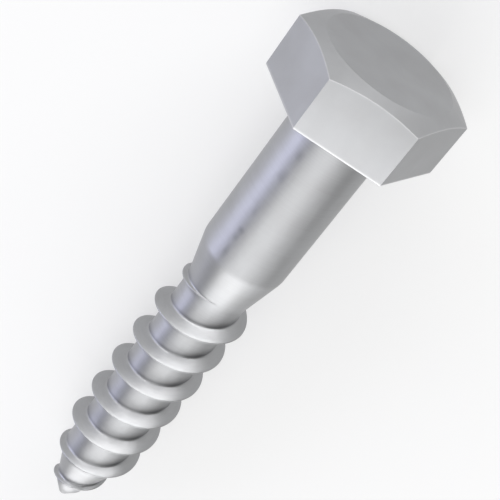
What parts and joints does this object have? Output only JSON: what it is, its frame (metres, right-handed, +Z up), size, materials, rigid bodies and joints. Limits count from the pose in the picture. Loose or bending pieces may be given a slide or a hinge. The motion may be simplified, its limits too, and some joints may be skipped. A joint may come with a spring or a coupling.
{
  "type": "coach screw",
  "caption": "Hexagon-head coach screw with a plain shank, a coarse right-hand wood thread and a tapered blunt point, lying on its side.",
  "frame": {"origin": "the middle of the head's bearing face, where the axis of the screw passes through it", "axes": "the screw lies on the head's lower flat and on the thread, with its point towards +X and its axis dipping 3.6 degrees below +X; +Z is up"},
  "size_m": [0.0548, 0.015, 0.0133],
  "materials": {
    "zinc_plated_steel": "bright zinc plating on steel, satin"
  },
  "bodies": {
    "root": {"coach_screw": "zinc_plated_steel"}
  },
  "joints": []
}
